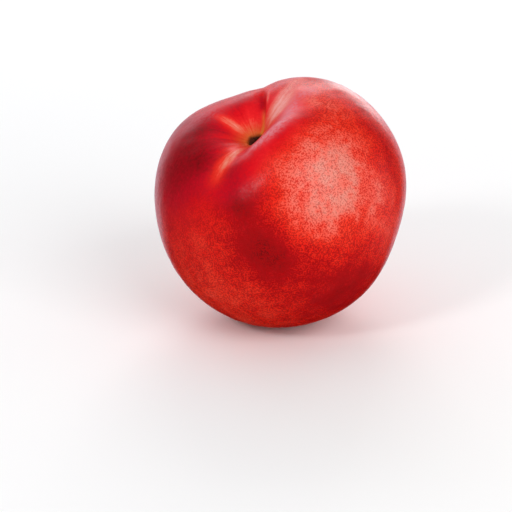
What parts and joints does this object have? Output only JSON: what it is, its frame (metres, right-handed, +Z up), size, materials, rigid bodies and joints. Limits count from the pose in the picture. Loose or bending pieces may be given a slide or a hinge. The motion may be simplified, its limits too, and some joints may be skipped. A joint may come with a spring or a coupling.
{
  "type": "nectarine",
  "caption": "Whole ripe nectarine with a stem cavity, a seam and smooth speckled skin, resting on a small flat spot.",
  "frame": {"origin": "centre of the flat spot that the fruit rests on, in the ground plane", "axes": "+Z up, -Y towards the front, from which the stem cavity is seen at the upper left; +X to the right. The stem axis leans about 28 degrees from +Z, towards -X and -Y."},
  "size_m": [0.0719, 0.0716, 0.07],
  "materials": {
    "skin": "waxy satin fruit skin, deep red blush over salmon with fine dark red speckle"
  },
  "bodies": {
    "root": {"nectarine": "skin"}
  },
  "joints": []
}
